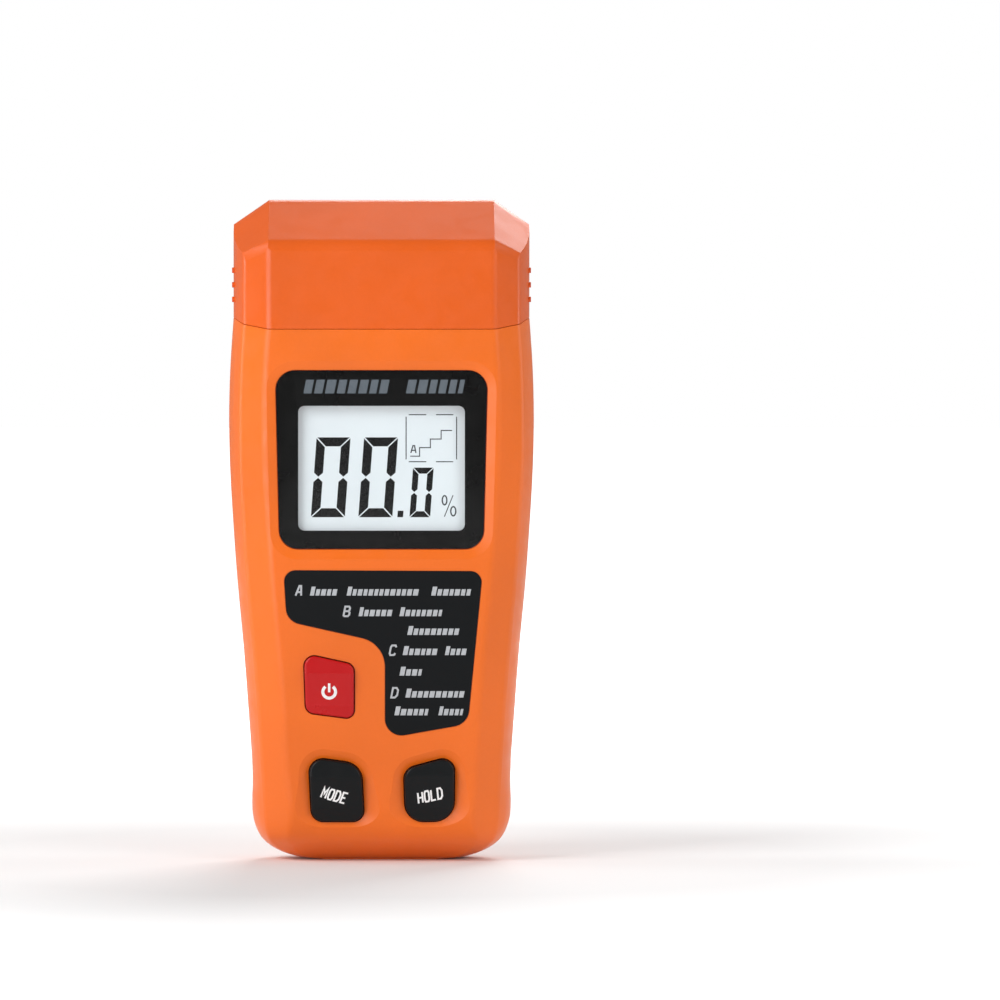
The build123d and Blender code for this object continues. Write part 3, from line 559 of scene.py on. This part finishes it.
# ---------------------------------------------------------------- display content
def digit_zero(marks, left, wide, tall, stroke, gap):
    """A nought in six mitred segments."""
    cut, mid, point = 0.7 * gap, tall / 2, 0.45 * stroke
    under = tall - stroke
    top = [(cut, tall), (wide - cut, tall), (wide - stroke - cut, under), (stroke + cut, under)]
    side = [(0, tall - cut), (stroke, under - cut), (stroke, mid + gap / 2 + point),
            (stroke / 2, mid + gap / 2), (0, mid + gap / 2 + point)]
    for shape in (top, side, [(wide - u, v) for u, v in side]):
        for upper in (True, False):
            points = [(u, v if upper else tall - v) for u, v in shape]
            marks.plate([(left + u + READ_LEAN * v, READ_BASE + v) for u, v in points])


def oval(centre, wide, tall):
    turns = [2 * math.pi * at / OVAL_STEPS for at in range(OVAL_STEPS)]
    line = [(centre[0] + wide * math.cos(a), centre[1] + tall * math.sin(a)) for a in turns]
    return line + line[:1]


def display_marks(material, thin_material):
    digits = Marks("display_digits", "lcd_panel", "case", material, "chip_black", film=0.02)
    for left, size in ZEROS:
        digit_zero(digits, left, **size)
    digits.plate(leaning_block(POINT_X, READ_BASE, POINT_WIDE, POINT_TALL, READ_LEAN))
    digits.build()
    signs = Marks("display_signs", "lcd_panel", "case", thin_material, "chip_black", film=0.02)
    for centre, wide in PERCENT_RINGS:
        signs.ribbon(oval(centre, wide, PERCENT_RING_TALL), PERCENT_STROKE)
    signs.ribbon(PERCENT_BAR, PERCENT_BAR_STROKE)
    for x in FRAME_X:
        signs.ribbon([(x, z) for z in FRAME_POSTS], SIGN_STROKE)
    for z in FRAME_Z:
        for dash in FRAME_DASHES:
            signs.ribbon([(x, z) for x in dash], SIGN_STROKE)
    stairs = [STAIR_START]
    for step in range(STAIR_COUNT):
        x, z = STAIR_FIRST + STAIR_RUN * step, STAIR_START[1] + STAIR_RISE * step
        stairs += [(x, z), (x, z + STAIR_RISE)]
    stairs.append((STAIR_END, stairs[-1][1]))
    signs.ribbon(stairs, SIGN_STROKE)
    glyph(signs, "A", *SIGN_LETTER, lean=SIGN_LETTER_LEAN)
    signs.build()


# ---------------------------------------------------------------- stage, light, camera
def make_floor():
    """A pale table that glows to even white away from the meter, like a lit sweep."""
    bpy.ops.mesh.primitive_circle_add(vertices=96, radius=FLOOR_RADIUS, fill_type="NGON")
    floor = bpy.context.object
    floor.name = "floor"
    s = Shader("floor_pale")
    pale = (0.86, 0.86, 0.86)
    s.drive("Base Color", s.ramp(s.noise(0.4, detail=1), [(0.3, shade(pale, 0.995)), (0.7, pale)]))
    length = s.nodes.new("ShaderNodeVectorMath")
    length.operation = "LENGTH"
    s.links.new(s.where, length.inputs[0])
    reach = s.nodes.new("ShaderNodeMapRange")
    reach.inputs["From Min"].default_value = GLOW_FROM
    reach.inputs["From Max"].default_value = GLOW_TO
    s.links.new(length.outputs["Value"], reach.inputs["Value"])
    seen = s.nodes.new("ShaderNodeLightPath")
    glow = s.nodes.new("ShaderNodeMath")
    glow.operation = "MULTIPLY"
    s.links.new(seen.outputs["Is Camera Ray"], glow.inputs[0])
    s.links.new(reach.outputs["Result"], glow.inputs[1])
    s.drive("Emission Strength", glow.outputs[0])
    s.put(Roughness=0.8, Emission_Color=(1, 1, 1, 1))
    floor.data.materials.append(s.material)


def area_light(name, place, aim, size, power):
    light = bpy.data.lights.new(name, "AREA")
    light.shape = "RECTANGLE"
    light.size, light.size_y = size
    light.energy = power
    holder = bpy.data.objects.new(name, light)
    bpy.context.scene.collection.objects.link(holder)
    holder.location = place
    holder.rotation_euler = (Vector(aim) - Vector(place)).to_track_quat("-Z", "Y").to_euler()


def make_light():
    scene = bpy.context.scene
    scene.view_settings.view_transform = "Standard"
    world = bpy.data.worlds.new("studio")
    scene.world = world
    world.use_nodes = True
    nodes, links = world.node_tree.nodes, world.node_tree.links
    room = nodes["Background"]
    room.inputs["Strength"].default_value = ROOM_LIGHT
    paper = nodes.new("ShaderNodeBackground")
    paper.inputs["Color"].default_value = (1, 1, 1, 1)
    room.inputs["Color"].default_value = (1, 1, 1, 1)
    seen = nodes.new("ShaderNodeLightPath")
    blend = nodes.new("ShaderNodeMixShader")
    links.new(seen.outputs["Is Camera Ray"], blend.inputs[0])
    links.new(room.outputs[0], blend.inputs[1])
    links.new(paper.outputs[0], blend.inputs[2])
    links.new(blend.outputs[0], nodes["World Output"].inputs["Surface"])
    for lamp in LIGHTS:
        area_light(*lamp)


def make_camera():
    """Square-on to the display from far off, the meter left of the middle."""
    centre = (CAD_LOW + CAD_HIGH) / 2
    distance = PICTURE_WIDTH / SENSOR * LENS
    foot_below = (FLOOR_SHARE - 0.5) * PICTURE_WIDTH
    aim = Vector((0, centre.y, CAD_LOW.z + foot_below))
    data = bpy.data.cameras.new("camera")
    data.lens, data.sensor_width = LENS, SENSOR
    data.shift_x = 0.5 - CENTRE_SHARE
    data.clip_end = 20.0
    camera = bpy.data.objects.new("camera", data)
    bpy.context.scene.collection.objects.link(camera)
    back = Vector((0, -math.cos(CAMERA_RISE), math.sin(CAMERA_RISE)))
    camera.location = aim + back * distance
    camera.rotation_euler = (-back).to_track_quat("-Z", "Y").to_euler()
    bpy.context.scene.camera = camera


# ---------------------------------------------------------------- everything
def main():
    make_camera()
    materials = make_materials()
    dress_nodes(materials)
    white = printed("ink_white", (0.86, 0.86, 0.86))
    title_marks(printed("ink_grey", rgb("626b73")))
    label_marks(printed("ink_pale", rgb("b4b7bb")))
    key_marks(white)
    segment = printed("segment_black", (0.0015, 0.0017, 0.002), 0.3)
    display_marks(segment, printed("segment_grey", (0.05, 0.055, 0.065), 0.3))
    make_floor()
    make_light()


main()
